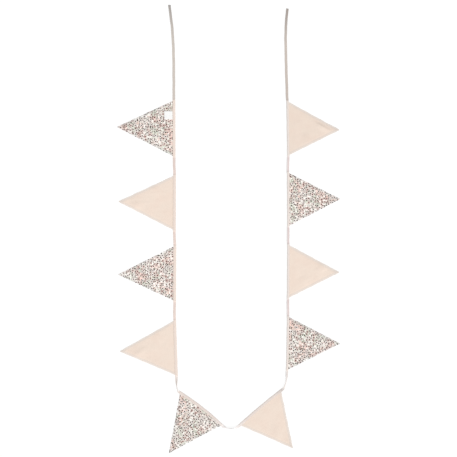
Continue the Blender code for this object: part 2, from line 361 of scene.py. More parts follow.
def slubs(place):
    """Noise drawn out 30 times along each of the two thread directions, added."""
    total = None
    for squeeze in ((1.1, 0.035, 1.0), (0.035, 1.1, 1.0)):
        drawn = place.vector("MULTIPLY", place, squeeze)
        sockets = {"Vector": drawn, "Scale": 1.0, "Detail": 2.0}
        one = place.node("TexNoise", sockets, noise_dimensions="2D")
        total = one if total is None else total + one
    return total - 1.0


def woven(place):
    """The weave, the slubs, and the relief that they give together."""
    weave, threads = plain_weave(place), slubs(place)
    return weave, threads, weave * 0.6 + threads * 0.5


def soft_noise(place, size, detail):
    """Soft clouds of about that size in millimetres, from 0 to 1."""
    sockets = {"Vector": place, "Scale": 1.0 / size, "Detail": detail}
    return place.node("TexNoise", sockets, noise_dimensions="2D")


def new_finish(name):
    """An empty cloth material, and the place on the cloth in mm, from its UV."""
    material = bpy.data.materials.new(name)
    material.use_nodes = True
    start = Signal(material.node_tree)
    return material, start.node("UVMap", uv_map="cloth").scaled(1 / MM)


def finish_cloth(material, colour, rough, height, bump, depth):
    """Links colour, roughness and bump, and sets what is the same all over."""
    shader = material.node_tree.nodes["Principled BSDF"]
    relief = colour.node("Bump", {"Strength": bump, "Distance": depth * MM, "Height": height})
    for name, signal in (("Base Color", colour), ("Roughness", rough), ("Normal", relief)):
        material.node_tree.links.new(signal.socket, shader.inputs[name])
    shader.inputs["Specular IOR Level"].default_value = 0.25
    shader.inputs["Sheen Weight"].default_value = 0.08
    shader.inputs["Sheen Roughness"].default_value = 0.5
    return material

# %% [markdown]
# ## The blush cotton
#
# The plain pennants are one even pale blush. What keeps such a cloth from looking like
# plastic is small: soft clouds of tone, slubs, the pinholes of the weave, painted darker as
# shade in the weave's hollows, and the sewn border, where four layers lie on each other. The
# border is painted a little darker and greyer, partly for the thicker cloth and partly as
# painted shade on its rounded rim and on the step where the seam allowance ends.
# Each pennant's mesh carries three numbers for this: `from_seam`, how far a point lies from
# the sewn sides, `near_tip`, which darkens the tip a little, and `dye_lot`, its own depth
# of colour, since cloth from two dye lots is never quite the same.

# %% Plain cotton
BORDER_GREYER = 0.28


def border_and_shade(place, colour):
    """The colour, greyer by the seams, and the tone: painted shade on step, rim and tip, and
    lot.
    """
    away = place.trait("from_seam")
    # Painted shade: the border is painted greyer and darker, partly for its four layers and
    # partly as shade; the step where the seam allowance ends and the rounded rim are painted
    # darker as shade.
    border = 1.0 - away.rise(HEM_WIDTH - 1.5, HEM_WIDTH + 4.0)
    step_shade = away.rise(HEM_WIDTH - 2.0, HEM_WIDTH) * (1.0 - away.rise(HEM_WIDTH, HEM_WIDTH + 3.0))
    rim = 1.0 - away.rise(0.2, 1.4)
    tip = place.trait("near_tip")
    tone = 1.0 - (border * 0.045 + step_shade * 0.06 + rim * 0.04 + tip * 0.08)
    return place.greyer(colour, border * BORDER_GREYER), tone * place.trait("dye_lot")


def make_plain_cotton():
    material, place = new_finish("blush_cotton")
    weave, threads, relief = woven(place)
    cloud = soft_noise(place, 38.0, 3.0)
    colour = place.dye(dyed(241, 224, 210), dyed(237, 217, 203), cloud.rise(0.35, 0.75) * 0.6)
    colour, border_and_shade_tone = border_and_shade(place, colour)
    # The weave term paints shade into the weave's hollows.
    tone = border_and_shade_tone * (0.955 + weave * 0.05 + threads * 0.05 + cloud * 0.05)
    colour = place.toned(colour, tone)
    return finish_cloth(material, colour, 0.82 + threads * 0.1, relief, 0.35, 0.12)


plain_cotton = make_plain_cotton()

# %% [markdown]
# ## The printed cotton
#
# The print is a ditsy floral: small five-petalled flowers thrown close together over leaves,
# stems and dots, in cream, blush, rose and sage with brown hearts. A Voronoi texture scatters
# points over the cloth and says for each place which point is nearest, so one rule for a
# flower, written round its own middle, draws them all. Leaves, dots, small flowers and large
# ones are four such scatters laid over each other, and the stems run halfway between the
# points of a fifth. The petals are the lobes of |cos(2.5 angle)|.

# %% Scattered motifs
def scattered(place, pitch, offset, evenness=0.25):
    """For one motif in each cell: its local x and y in mm, three random numbers, its spot."""
    moved = place.vector("ADD", place, offset)
    sockets = {"Vector": moved, "Scale": 1.0 / pitch, "Randomness": 1.0 - evenness}
    spot = place.node("TexVoronoi", sockets, output="Position", voronoi_dimensions="2D")
    chance = spot.node("SeparateColor", {0: spot.also("Color")})
    x, y = split(place.vector("SUBTRACT", moved, spot))
    return x, y, (chance, chance.also("Green"), chance.also("Blue")), spot


def polar(x, y, turn):
    """Distance from the motif's middle, and the angle plus the motif's own turn."""
    distance = (x * x + y * y) ** 0.5
    return distance, x.math("ARCTAN2", y, x) + turn * FULL_TURN


def five_petals(x, y, turn, radius):
    """Petal edge at radius (0.62 + 0.38 |cos(2.5 angle)|): cover, closeness to the edge."""
    distance, angle = polar(x, y, turn)
    lobe = angle.math("ABSOLUTE", angle.math("COSINE", angle * 2.5))
    edge = radius * (0.62 + lobe * 0.38)
    cover = 1.0 - (distance - edge).rise(-0.25, 0.25)
    line = (distance - edge + 0.75).rise(-0.35, 0.35) * cover
    crease = (1.0 - lobe.rise(0.08, 0.3)) * distance.rise(1.4, 2.4) * cover
    return distance, cover, line.math("MAXIMUM", line, crease)


def leaf(x, y, turn, length, width):
    """Two arcs about a turned axis: cover where |across| < width (1 - (along/length)^2)."""
    angle = turn * FULL_TURN
    cosine = angle.math("COSINE", angle)
    sine = angle.math("SINE", angle)
    along = (x * cosine + y * sine) / length
    across = y * cosine - x * sine
    across = across.math("ABSOLUTE", across)
    cover = 1.0 - (across - (1.0 - along * along) * width).rise(-0.2, 0.2)
    vein = (1.0 - across.rise(0.1, 0.35)) * cover
    return cover, vein

# %% Printed cotton
# Numbers above 255 make up for the painted shade of the weave and the border, which darkens
# every ink a little.
STEM_MESH = 8.5
INK = {
    "cream": dyed(261, 255, 248),
    "blush_wash": dyed(257, 224, 213),
    "sage_wash": dyed(232, 234, 220),
    "sage": dyed(220, 222, 211),
    "moss": dyed(117, 116, 99),
    "stem": dyed(168, 155, 145),
    "rose": dyed(233, 200, 192),
    "pale_rose": dyed(260, 237, 229),
    "petal_white": dyed(268, 266, 261),
    "petal_line": dyed(158, 141, 133),
    "heart": dyed(34, 20, 16),
    "dot": dyed(34, 26, 21),
}


def make_print_cotton():
    material, place = new_finish("print_cotton")

    patch = soft_noise(place, 42.0, 1.0)
    other_patch = soft_noise(place.vector("ADD", place, (311.0, 97.0, 0.0)), 36.0, 1.0)
    colour = place.dye(INK["cream"], INK["blush_wash"], patch.rise(0.45, 0.65))
    colour = place.dye(colour, INK["sage_wash"], other_patch.rise(0.5, 0.66))

    x, y, chance, _ = scattered(place, 6.6, (17.0, 41.0, 0.0))
    cover, vein = leaf(x, y, chance[0], 3.9, 1.3)
    green = place.dye(INK["sage"], INK["moss"], chance[1].rise(0.5, 0.6))
    green = place.dye(green, INK["rose"], chance[2].rise(0.86, 0.87))
    colour = place.dye(colour, green, cover)
    colour = place.dye(colour, INK["stem"], vein * 0.7)

    shifted = place.vector("ADD", place, (71.0, 13.0, 0.0))
    sockets = {"Vector": shifted, "Scale": 1.0 / STEM_MESH, "Randomness": 1.0}
    fine = {"voronoi_dimensions": "2D", "feature": "DISTANCE_TO_EDGE"}
    to_line = place.node("TexVoronoi", sockets, output="Distance", **fine) * STEM_MESH
    broken = soft_noise(shifted, 8.0, 1.0).rise(0.42, 0.5)
    stems = (1.0 - to_line.rise(0.35, 0.75)) * broken
    colour = place.dye(colour, INK["stem"], stems)

    x, y, chance, _ = scattered(place, 7.2, (5.0, 230.0, 0.0), 0.4)
    distance, _ = polar(x, y, chance[0])
    dots = (1.0 - distance.rise(1.9, 2.2)) * chance[1].rise(0.3, 0.31)
    pips = place.dye(INK["dot"], INK["petal_white"], chance[2].rise(0.68, 0.69))
    colour = place.dye(colour, pips, dots)

    for pitch, radius, offset, heart in (
        (10.2, 4.2, (130.0, 60.0, 0.0), 1.95),
        (16.0, 5.2, (260.0, 190.0, 0.0), 2.1),
    ):
        x, y, chance, spot = scattered(place, pitch, offset, 0.45)
        distance, cover, line = five_petals(x, y, chance[0], radius)
        shown = cover * chance[1].rise(0.22, 0.23)
        rosy = soft_noise(spot, 45.0, 0.0) + chance[2] * 0.3
        petal = place.dye(INK["petal_white"], INK["pale_rose"], rosy.rise(0.62, 0.68))
        petal = place.dye(petal, INK["rose"], rosy.rise(0.8, 0.84))
        petal = place.dye(petal, INK["petal_line"], line * 0.8)
        blushed = (1.0 - distance.rise(heart, heart * 2.2)) * 0.4
        petal = place.dye(petal, INK["rose"], blushed)
        petal = place.dye(petal, INK["heart"], 1.0 - distance.rise(heart - 0.25, heart + 0.25))
        colour = place.dye(colour, petal, shown)

    weave, threads, relief = woven(place)
    colour, border_and_shade_tone = border_and_shade(place, colour)
    # The weave term paints shade into the weave's hollows.
    colour = place.toned(colour, border_and_shade_tone * (0.96 + weave * 0.05 + threads * 0.04))
    return finish_cloth(material, colour, 0.84 + threads * 0.1, relief, 0.35, 0.12)


print_cotton = make_print_cotton()

# %% [markdown]
# ## The tape's cotton, the thread and the label's satin
#
# The tape is a slightly greyer blush than the pennants. Towards its free ends, which lie
# partly turned on their edge, it is painted darker, as painted shade. Its UV runs along the
# tape, so a ramp over that distance can carry the change, and the same ramp paints light and
# shade on the corners, the bottom loop and the right leg. Where the tape holds a pennant it
# is painted lighter and more even, as painted light, which its mesh's `lit_over_cloth` marks,
# and down the right leg its fold turns away from the lamp and is painted greyer, as painted
# shade, which `fold_shade` marks. Thread is twisted, and its slanting bands are painted light
# and shade. The label is woven in satin: its threads float in long parallel lines, so it has
# a soft directional gloss. It is left bare.

# %% Tape, thread and label finishes
FOLD_GREYER = 0.6


def make_tape_cotton(length):
    """The ramp's stops are shares of the tape's length, from its left free end."""
    material, place = new_finish("tape_cotton")
    # Painted light and shade along the tape: the dark stops at both free ends are painted shade
    # on the turned ties; corner and loop are painted light where the tape stands on its edge at
    # the left corner and in the bottom loop; 0.574 is painted shade and 0.58 to 0.61 painted
    # light round the right corner; from 0.67 to 0.84 the right leg is painted darker and greyer
    # as painted shade.
    corner, bottom, loop = (240, 230, 224), (229, 217, 211), (243, 237, 235)
    tones = (
        (0.0, (161, 156, 153)),
        (0.01, (178, 171, 166)),
        (0.028, (196, 188, 181)),
        (0.05, (205, 196, 188)),
        (0.11, (208, 198, 190)),
        (0.16, (230, 212, 205)),
        (0.24, (235, 215, 206)),
        (0.405, (236, 219, 211)),
        (0.415, corner),
        (0.428, corner),
        (0.438, bottom),
        (0.48, bottom),
        (0.495, loop),
        (0.51, loop),
        (0.525, bottom),
        (0.565, (230, 219, 213)),
        (0.574, (206, 199, 196)),
        (0.58, (232, 223, 218)),
        (0.61, (234, 225, 221)),
        (0.67, (225, 208, 206)),
        (0.84, (227, 211, 209)),
        (0.9, (201, 189, 181)),
        (0.96, (202, 191, 183)),
        (0.973, (190, 180, 173)),
        (0.985, (174, 164, 158)),
        (1.0, (162, 152, 146)),
    )
    run, _ = split(place)
    share = run / length
    stops = [(at, dyed(*tone)) for at, tone in tones]
    colour = place.node("ValToRGB", {0: share}, stops=stops)
    # Painted light: over the cloth it holds, the tape is painted lighter and more even; down
    # the right leg that tone is greyer, as painted shade.
    painted_light_tone = place.dye(dyed(239, 223, 212), dyed(236, 225, 218), share.rise(0.57, 0.62))
    colour = place.dye(colour, painted_light_tone, place.trait("lit_over_cloth") * 0.9)
    colour = place.greyer(colour, place.trait("fold_shade") * FOLD_GREYER)
    weave, threads, relief = woven(place)
    cloud = soft_noise(place, 16.0, 3.0)
    # The weave term paints shade into the weave's hollows.
    colour = place.toned(colour, 0.93 + weave * 0.06 + threads * 0.06 + cloud * 0.06)
    return finish_cloth(material, colour, 0.84 + threads * 0.1, relief, 0.4, 0.12)


def make_thread():
    """Two-ply thread: slanting bands from the sine of a sum of along and across."""
    material, place = new_finish("sewing_thread")
    across, along = split(place)
    twist = across.math("SINE", (across * 2.0 + along * 3.0) * FULL_TURN)
    # The slanting bands are painted light and shade of the two twisted plies.
    colour = place.dye(dyed(226, 215, 207), dyed(244, 236, 230), twist.rise(-1.0, 1.0))
    return finish_cloth(material, colour, 0.62 + twist * 0.05, twist, 0.4, 0.05)


def make_label_satin():
    """Floating threads: fine ridges one way, broken at long even steps."""
    material, place = new_finish("label_satin")
    across, along = split(place)
    ridges = across.math("SINE", across * (FULL_TURN / 0.34))
    binding = across.math("SINE", (along * 5.0 + across * 2.0) * (FULL_TURN / 2.4))
    cloud = soft_noise(place, 9.0, 2.0)
    # The ridges and the binding points are painted light and shade of the satin's relief.
    tone = 0.965 + ridges * 0.012 + binding.rise(0.7, 1.0) * -0.02 + cloud * 0.03
    colour = place.toned(dyed(253, 253, 252), tone)
    rough = 0.48 + cloud * 0.08
    return finish_cloth(material, colour, rough, ridges * 0.5 + binding * 0.2, 0.25, 0.06)

# %% [markdown]
# ## Helpers for shapes
#
# Every surface below is a grid of points worked out at once with numpy. A cloth is two such
# grids, front and back, that share their rim, so that it is closed. The tape is one section
# carried along a path, closed at its ends.

# %% Shape helpers
def smooth(share):
    """0 below 0, 1 above 1 and 3 t^2 - 2 t^3 between."""
    share = np.clip(share, 0.0, 1.0)
    return share * share * (3.0 - 2.0 * share)


def bell(offset, spread):
    """1 in the middle, 1/e at one spread away and nearly 0 further out."""
    return np.exp(-((offset / spread) ** 2))


def ripple(distance, length, phase=0.0):
    """A sine wave of that length."""
    return np.sin(distance * 2 * np.pi / length + phase)


def compass(heading):
    """The unit vector of a heading in degrees."""
    turned = np.radians(heading)
    return np.stack((np.cos(turned), np.sin(turned)), axis=-1)


def droop(pennant, along):
    """How far the tape lies below the pennant's straight top line: a shallow arch."""
    return pennant.bow * (2.0 * along / pennant.base) ** 2


def make_piece(name, points, faces, cloth_uv, material, traits=None):
    """Puts whole arrays into one closed mesh: points and UVs in mm, one UV for each corner."""
    mesh = bpy.data.meshes.new(name)
    mesh.from_pydata((points * MM).tolist(), [], faces)
    mesh.uv_layers.new(name="cloth").data.foreach_set("uv", np.ravel(cloth_uv * MM))
    mesh.polygons.foreach_set("use_smooth", np.ones(len(mesh.polygons), dtype=bool))
    for trait, values in (traits or {}).items():
        mesh.attributes.new(trait, "FLOAT", "POINT").data.foreach_set("value", np.ravel(values))
    mesh.materials.append(material)
    mesh.validate()
    piece = placed(name, mesh)
    print(name, "triangles:", sum(len(face) - 2 for face in faces))
    return piece


def compare_with_cad(piece, node):
    """How far the new piece's box stands out of its CAD node's box, in mm."""
    corners = np.array([vert.co for vert in piece.data.vertices])
    low, high = (np.array(corner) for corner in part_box(node))
    below = (low - corners.min(axis=0)) / MM
    above = (corners.max(axis=0) - high) / MM
    print(piece.name, "outside its node in mm:", below.round(2), above.round(2))

# %% [markdown]
# ## The path of the tape
#
# One tape runs from the left free end down the left leg, across the bottom and up to the
# right free end. Beside a pennant it lies flat and straight. Between pennants it curves, and
# at the bottom it stands up on its edge, as a folded tape does when it is laid round a bend.
# Cubic curves with given ends and directions join the straight stretches.

# %% Tape path
STATION = 2.4


def curve_between(start, start_heading, end, end_heading, slack):
    """Points of the cubic with those ends, whose pull at each end is slack times the chord."""
    reach = np.hypot(*(end - start)) * slack
    count = max(6, int(np.hypot(*(end - start)) * 1.03 / STATION))
    t = np.arange(count)[:, None] / count
    first, last = compass(start_heading) * reach, compass(end_heading) * reach
    points = start * (2 * t**3 - 3 * t**2 + 1) + first * (t**3 - 2 * t**2 + t)
    return points + end * (3 * t**2 - 2 * t**3) + last * (t**3 - t**2), t[:, 0]


def beside(pennant, along):
    """Points of the tape's centreline beside the pennant, bowed as its top edge is."""
    run, drop = compass(pennant.heading), compass(pennant.heading - 90.0)
    along = np.atleast_1d(along)[:, None]
    return np.array((pennant.x, pennant.y)) + run * along + drop * droop(pennant, along)


def end_turn(pennant):
    """How far the arch of the top edge turns the heading at each end, in degrees."""
    past = pennant.base / 2 + PAST_PENNANT
    return math.degrees(math.atan(8 * pennant.bow * past / pennant.base**2))


def tie_path(stops):
    """Curve after curve through the stops, with the roll changing evenly between them."""
    places, rolls = [], []
    for (start, heading, roll), (end, next_heading, next_roll) in zip(stops, stops[1:]):
        points, share = curve_between(start, heading, end, next_heading, 1.0)
        places.append(points)
        rolls.append(roll + (next_roll - roll) * share)
    return np.concatenate(places), np.concatenate(rolls)


def ends_of(pennant):
    past = pennant.base / 2 + PAST_PENNANT
    return beside(pennant, -past)[0], beside(pennant, past)[0]

# %% The whole route in order
def whole_path():
    """Centreline, roll and how far the fold is open, station by station."""
    first, last = PENNANTS[0], PENNANTS[-1]
    left, right = (
        [(np.array((x, y)), heading, roll) for x, y, heading, roll in tie]
        for tie in (LEFT_TIE, RIGHT_TIE)
    )
    places, rolls = tie_path(left + [(ends_of(first)[0], first.heading, 0.0)])
    places, rolls = [places], [rolls]
    opens = [np.zeros(len(rolls[0]))]
    for number, pennant in enumerate(PENNANTS):
        past = pennant.base / 2 + PAST_PENNANT
        along = np.arange(-past, past, STATION)
        places.append(beside(pennant, along))
        rolls.append(np.zeros(len(along)))
        opens.append(1.0 - smooth((np.abs(along) - pennant.base / 2 - 1.2) / 2.8))
        if number < len(GAPS):
            gap, after = GAPS[number], PENNANTS[number + 1]
            heading = pennant.heading - end_turn(pennant)
            next_heading = after.heading + end_turn(after)
            start, end = ends_of(pennant)[1], ends_of(after)[0]
            points, share = curve_between(start, heading, end, next_heading, gap.slack)
            nearer = np.minimum(share / gap.peak, (1 - share) / (1 - gap.peak))
            places.append(points)
            rolls.append(gap.roll * smooth(1.25 * nearer))
            opens.append(np.zeros(len(share)))
    points, tie_rolls = tie_path([(ends_of(last)[1], last.heading, 0.0)] + right)
    places += [points, right[-1][0][None]]
    rolls += [tie_rolls, np.array([right[-1][2]])]
    opens.append(np.zeros(len(points) + 1))
    return np.concatenate(places) + LAYOUT_SHIFT, np.concatenate(rolls), np.concatenate(opens)


path, path_roll, path_open = whole_path()
steps = np.hypot(*np.diff(path, axis=0).T)
walked = np.concatenate(([0.0], np.cumsum(steps)))
TAPE_LENGTH = float(walked[-1])
print("stations:", len(path), "tape length in mm:", round(TAPE_LENGTH, 1))

# %% [markdown]
# ## The folded tape
#
# The tape is a strip folded in half along its length. Its section is a narrow U lying on
# its side: two legs, a round fold on the inner side of the layout, and two soft lips on the
# pennants' side. Beside a pennant the legs stand apart and hold the cloth; elsewhere they
# are sewn shut. A shallow groove runs where the stitches pull the legs together, and the
# lips pucker a little between the stitches. A hem thickens both free ends.

# %% Section of the folded tape
END_HEM = 8.0
HEM_THICKER = 0.22

half_tape = TAPE_WIDTH / 2
lip = TAPE_LEG / 2
level_stops = (-half_tape + lip, -3.7, -3.3, -2.9, -2.5, -2.1, -1.0, 0.5, 2.0)
gap_half = SHUT_GAP + (POCKET_GAP - SHUT_GAP) * path_open
hem = smooth(END_HEM - np.minimum(walked, TAPE_LENGTH - walked))
outer_half = gap_half + TAPE_LEG + HEM_THICKER * hem


def arc(middle_across, middle_up, radius, start, end, count):
    """Inner points of an arc: middle + radius (cos, sin), for every station at once."""
    turn = np.radians(np.linspace(start, end, count + 2)[1:-1])
    across = middle_across[:, None] + radius[:, None] * np.cos(turn)
    return across, middle_up[:, None] + radius[:, None] * np.sin(turn)


def flat_face(height, backwards):
    """A level stretch at that height, from the lip to the fold, for every station."""
    fixed = np.tile(level_stops, (len(path), 1))
    across = np.hstack((fixed, (half_tape - outer_half)[:, None]))
    across = across[:, ::-1] if backwards else across
    return across, np.tile(height[:, None], (1, across.shape[1]))


def tape_section():
    """Across and up for each station and point, walked once round the folded strip."""
    fold_at = half_tape - outer_half
    level = np.zeros(len(path))
    lip_at = np.full(len(path), -half_tape + lip)
    lip_round = np.full(len(path), lip)
    lip_height = gap_half + lip
    runs = (
        flat_face(-outer_half, False),
        arc(fold_at, level, outer_half, -90, 90, 9),
        flat_face(outer_half, True),
        arc(lip_at, lip_height, lip_round, 90, 270, 4),
        flat_face(gap_half, False),
        arc(fold_at, level, gap_half, 90, -90, 4),
        flat_face(-gap_half, True),
        arc(lip_at, -lip_height, lip_round, 90, 270, 4),
    )
    return np.hstack([run[0] for run in runs]), np.hstack([run[1] for run in runs])


across, up = tape_section()

# %% Soften the section: groove, crown and puckers
# Beside the right leg's pennants the tape lies over towards them, and its fold is drawn in
# and rounder. Beside the left leg's it lies a little wider. The first SHELL_POINTS points of
# a section are its outer side, and each change is spread over SOFT_STATIONS stations.
LAID_OVER = 0.7
DRAWN_IN = 0.6
WIDER = 0.5
BULGE = 0.8
LEGS_FROM = -530.0
TIES_FROM = 410.0
SHELL_POINTS = 29
SOFT_STATIONS = 21

outside = np.abs(np.abs(up) - outer_half[:, None]) < 0.02
on_leg = smooth((path[:, 1] - LEGS_FROM) / 40.0)
window = np.hanning(SOFT_STATIONS)
held_softly = np.convolve(path_open, window / window.sum(), mode="same") * on_leg
right_hold = held_softly * (path[:, 0] > 0.0)
left_hold = held_softly * (path[:, 0] < 0.0)
fold_moves = (WIDER * left_hold - DRAWN_IN * right_hold)[:, None]
across = across + fold_moves * smooth((across + 1.0) / 5.5)
groove = 0.11 * bell(across + half_tape - SEAM_FROM_LIP, 0.5)
crown = (0.05 + 0.35 * path_open[:, None] * (up > 0)) * (1.0 - (across / half_tape) ** 2)
pucker = 0.035 * (ripple(walked, 8.7) + 0.6 * ripple(walked, 5.9, 1.0))[:, None]
pucker = pucker * bell(across + half_tape - 0.8, 0.7)
up = up + outside * np.sign(up) * (crown - groove + pucker)
on_shell = (np.arange(up.shape[1]) < SHELL_POINTS) * np.maximum(0.0, up)
to_fold = half_tape + fold_moves - across
bulge = BULGE * (right_hold * path_open)[:, None] * smooth((across + 2.9) / 2.5)
bulge = bulge * smooth(to_fold / 3.5)
up = up + bulge * on_shell / outer_half[:, None]
sway = 0.16 * ripple(walked, 61.0) + 0.12 * ripple(walked, 37.0, 2.0)
sway = sway - LAID_OVER * right_hold
across = across + sway[:, None]
print("thickest part of the tape in mm:", round(float(np.ptp(up, axis=1).max()), 2))

# %% Carry the section along the path
ahead = np.gradient(path, walked, axis=0)
ahead = ahead / np.hypot(*ahead.T)[:, None]
inner_side = np.stack((-ahead[:, 1], ahead[:, 0], np.zeros(len(path))), axis=1)
upright = np.array((0.0, 0.0, 1.0))
cosine = np.cos(np.radians(path_roll))[:, None]
sine = np.sin(np.radians(path_roll))[:, None]
side_way = cosine * inner_side + sine * upright
face_way = cosine * upright - sine * inner_side
lowest = (across * sine + up * cosine).min(axis=1)
centre = np.column_stack((path, -lowest))
tape_points = centre[:, None] + across[..., None] * side_way[:, None]
tape_points = tape_points + up[..., None] * face_way[:, None]

# %% Make the tape
def tube(run, girth):
    """Quads between rings, a many-sided face on each end, and the quads' UV: run, girth."""
    rings, around = len(run), len(girth) - 1
    row, column = np.meshgrid(np.arange(rings - 1), np.arange(around), indexing="ij")
    rows = np.stack((row, row, row + 1, row + 1), axis=-1)
    columns = np.stack((column, column + 1, column + 1, column), axis=-1)
    quads = (rows * around + columns % around).reshape(-1, 4)
    first = np.arange(around)[::-1][None]
    last = (rings - 1) * around + np.arange(around)[None]
    return quads, first, last, np.stack((run[rows], girth[columns]), axis=-1).reshape(-1, 2)


stations, around = across.shape
middle_station = stations // 2
loop = np.stack((across[middle_station], up[middle_station]), axis=1)
loop = np.vstack((loop, loop[:1]))
girth = np.concatenate(([0.0], np.cumsum(np.hypot(*np.diff(loop, axis=0).T))))
quads, first_cap, last_cap, side_uv = tube(walked, girth)
cap_uv = [
    np.column_stack((walked[at] + up[at][order], across[at][order]))
    for at, order in ((0, slice(None, None, -1)), (-1, slice(None)))
]
tape_uv = np.vstack((side_uv, *cap_uv))
tape_faces = quads.tolist() + first_cap.tolist() + last_cap.tolist()
tape_cotton = make_tape_cotton(TAPE_LENGTH)
below_tie = 1.0 - smooth((path[:, 1] - TIES_FROM) / 30.0)
right_side = on_leg * (path[:, 0] > 0.0) * below_tie
# The first trait marks where light is painted on the tape over the pennants, weaker along the
# bottom.
tape_traits = {
    "lit_over_cloth": np.repeat(path_open * (0.3 + 0.7 * on_leg), around),
    "fold_shade": right_side[:, None] * smooth((across - 0.5) / 2.0) * (up > 0.0),
}
tape_points = tape_points.reshape(-1, 3)
tape = make_piece("folded_tape", tape_points, tape_faces, tape_uv, tape_cotton, tape_traits)
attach(tape, "root")
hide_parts("binding_tape")
compare_with_cad(tape, "binding_tape")

# %% [markdown]
# ## The stitches
#
# A sewing machine leaves one row of short stitches on each face of the tape, all along it.
# Each stitch is a small capsule of thread that dips into the cloth at both ends and slants a
# little, because the thread pulls to one side at every hole. All of a row are one mesh: the
# same capsule is placed at every stitch by array arithmetic.

# %% Make the two rows of stitches
STITCH_PITCH = 2.9
STITCH_SUNK = 0.07
OVER_CLOTH = 0.2
THREAD = 0.19


def stitch_row(name, face):
    """Rings of six points round each thread, carried to every stitch along the seam."""
    middles = np.arange(2.2, TAPE_LENGTH - 2.2, STITCH_PITCH)
    reach = np.array((-1.22, -1.05, -0.5, 0.5, 1.05, 1.22))
    thick = np.array((0.25, 0.75, 1.0, 1.0, 0.75, 0.25)) * THREAD
    lift = np.array((-0.14, -0.02, 0.07, 0.07, -0.02, -0.14))
    slant = reach * 0.09
    turn = np.radians(np.arange(0, 360, 60))
    along = middles[:, None] + reach
    raised = OVER_CLOTH * path_open * (face > 0.0)
    seam_up = np.interp(along, walked, outer_half + raised) - STITCH_SUNK
    over = -half_tape + SEAM_FROM_LIP + slant + np.interp(along, walked, sway)
    ring_across = over[..., None] + thick[:, None] * np.cos(turn)
    ring_up = face * (seam_up + lift)[..., None] + thick[:, None] * np.sin(turn)
    carried = [
        np.stack([np.interp(along, walked, vector[:, axis]) for axis in range(3)], axis=-1)
        for vector in (centre, side_way, face_way)
    ]
    middle, side, upwards = (vector[:, :, None] for vector in carried)
    points = middle + ring_across[..., None] * side + ring_up[..., None] * upwards
    count, rings, corners = points.shape[:3]
    quads, first, last, one_uv = tube(reach, np.arange(corners + 1) * 0.2)
    starts = (np.arange(count) * rings * corners)[:, None, None]
    quads = (quads[None] + starts).reshape(-1, 4)
    caps = (np.vstack((first, last))[None] + starts).reshape(-1, corners)
    quad_uv = (one_uv + np.stack((middles, middles * 0), axis=-1)[:, None]).reshape(-1, 2)
    cap_uv = np.zeros((caps.size, 2))
    faces = quads.tolist() + caps.tolist()
    uv = np.vstack((quad_uv, cap_uv))
    return make_piece(name, points.reshape(-1, 3), faces, uv, sewing_thread)


sewing_thread = make_thread()
stitches = [stitch_row("stitches_upper", 1.0), stitch_row("stitches_lower", -1.0)]
for row_of_stitches in stitches:
    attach(row_of_stitches, "root")

# %% [markdown]
# ## The pennants
#
# Two layers of cotton are sewn along the sloping sides, turned and pressed. So the sides are
# a rounded fold with a flat border about 5 mm wide, where the seam allowance lies inside,
# and the tip is blunt. The cloth leaves the tape at half its thickness, settles on the floor
# over the next 2 cm, and is crossed by a few soft creases. Small puckers run along the seams,
# and between them the two layers stand a little off the floor, like a very flat pillow.
# A real cloth simulation would lose such a seam in its coarse grid, and this cloth lies
# flat, so its height is a formula: a sum of soft ridges and waves over the floor.

# %% Height of the cloth
PILLOW = 0.8


def waves_at(seed, along, down):
    """Nine plane waves of the pennant's own lengths, directions, phases and heights, added."""
    chance = np.random.default_rng(seed)
    lengths = np.concatenate((chance.uniform(34, 85, 5), chance.uniform(11, 24, 4)))
    turns = chance.uniform(0, np.pi, 9)
    phases = chance.uniform(0, 2 * np.pi, 9)
    heights = np.concatenate((chance.uniform(0.06, 0.16, 5), chance.uniform(0.02, 0.05, 4)))
    return sum(
        height * ripple(along * math.cos(turn) + down * math.sin(turn), length, phase)
        for turn, length, phase, height in zip(turns, lengths, phases, heights)
    )


def crease_height(crease, along, down):
    """A soft ridge, height x exp(-(off / spread)^2), that fades towards both its ends."""
    run = math.radians(crease.angle)
    on_line = (along - crease.along) * math.cos(run) - (down - crease.down) * math.sin(run)
    off_line = (along - crease.along) * math.sin(run) + (down - crease.down) * math.cos(run)
    fade = smooth(1.0 - np.abs(on_line) / (crease.length / 2))
    spread = crease.spread * (1.0 - np.sign(off_line) * crease.lean)
    return crease.height * fade * bell(off_line, spread)


def cloth_shape(pennant, seed, along, down, from_side):
    """Height of the cloth's middle and half its thickness, in mm."""
    settled = smooth((down - LEVEL_UNTIL) / (SETTLED_AT - LEVEL_UNTIL))
    curl_from = CURL_FROM * pennant.depth
    curl = smooth((down - curl_from) / (pennant.depth - curl_from))
    creases = sum(
        crease_height(crease, along, down)
        for crease in CREASES
        if PENNANTS[crease.pennant - 1] is pennant
    )
    lifted = np.maximum(0.0, creases * settled + pennant.tip_lift * curl - LIES_FLAT_BELOW)
    loose = smooth(from_side / 12.0)
    wave = (0.3 + waves_at(seed, along, down)) * (0.35 + 0.65 * loose)
    near_seam = bell(from_side - 6.0, 5.0)
    phase = seed + np.sign(along) * 1.7 + 0.8 * np.sin(down / 19.0 + seed)
    pucker = 0.13 * near_seam * (1.0 + ripple(down, 8.3, phase))
    pillow = PILLOW * smooth(from_side / 15.0)
    hem_share = 1.0 - smooth((from_side - HEM_WIDTH) / 1.5)
    half = CLOTH_HALF + (HEM_HALF - CLOTH_HALF) * hem_share
    lying = HEM_HALF + np.maximum(0.0, lifted + np.maximum(0.0, wave) + pucker + pillow)
    in_pocket = TAPE_LEG + POCKET_GAP
    return in_pocket * (1.0 - settled) + lying * settled, half

# %% Grid of one pennant
RIM = np.array((0.0, 0.1, 0.3, 0.6, 1.2, 2.1, 3.2, 4.3, 5.4, 6.3, 7.4, 9.4))
INNER_COLUMNS = 44
TIP_ROUND = 2.2


